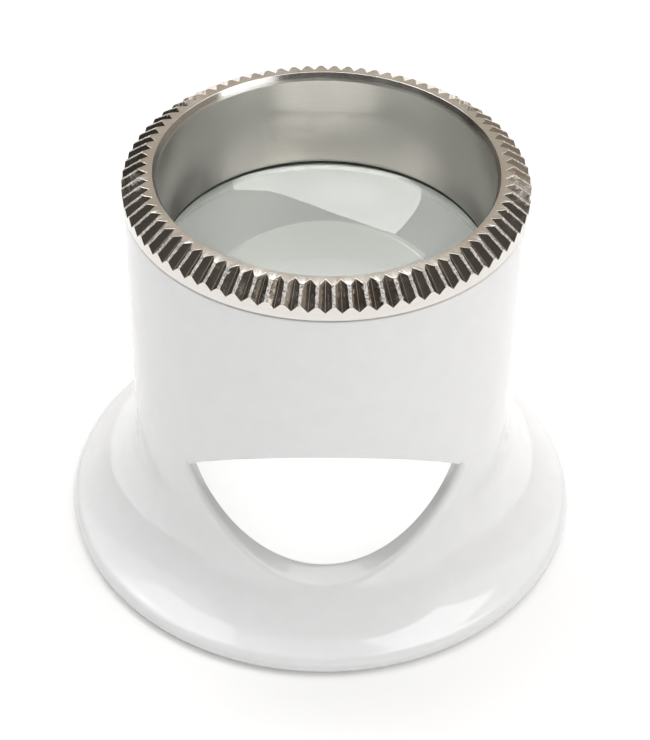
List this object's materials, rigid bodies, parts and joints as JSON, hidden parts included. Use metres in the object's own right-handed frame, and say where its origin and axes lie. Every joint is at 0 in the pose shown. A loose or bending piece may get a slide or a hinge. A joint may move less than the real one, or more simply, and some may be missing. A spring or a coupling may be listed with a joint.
{
  "type": "eye loupe",
  "caption": "Watchmaker's eye loupe: flared white eye cup with an air window, a lens on a ledge and a knurled steel ring that screws down on it.",
  "frame": {"origin": "centre of the eye end, on the flat face that the flange stands on", "axes": "+Z is the optical axis, out of the eye; the air window faces -Y"},
  "size_m": [0.038, 0.038, 0.0303],
  "materials": {
    "housing_plastic": "white moulded plastic, polished tool",
    "lens_glass": "polished crown glass",
    "washer_rubber": "thin black rubber",
    "ring_steel": "turned and knurled stainless steel"
  },
  "bodies": {
    "housing": {"housing": "housing_plastic", "lens": "lens_glass"},
    "washer": {"washer": "washer_rubber"},
    "ring": {"retaining_ring": "ring_steel"}
  },
  "joints": [
    {"name": "ring_turn", "type": "hinge", "parent": "housing", "child": "washer", "pos_m": [0, 0, 0.0226], "axis": [0, 0, 1], "range_deg": [0, 2160]},
    {"name": "ring_rise", "type": "slide", "parent": "washer", "child": "ring", "axis": [0, 0, 1], "range_m": [0, 0.00451]}
  ],
  "couplings": [
    {"joint": "ring_rise", "follows": "ring_turn", "m_per_rad": 0.00011937}
  ]
}
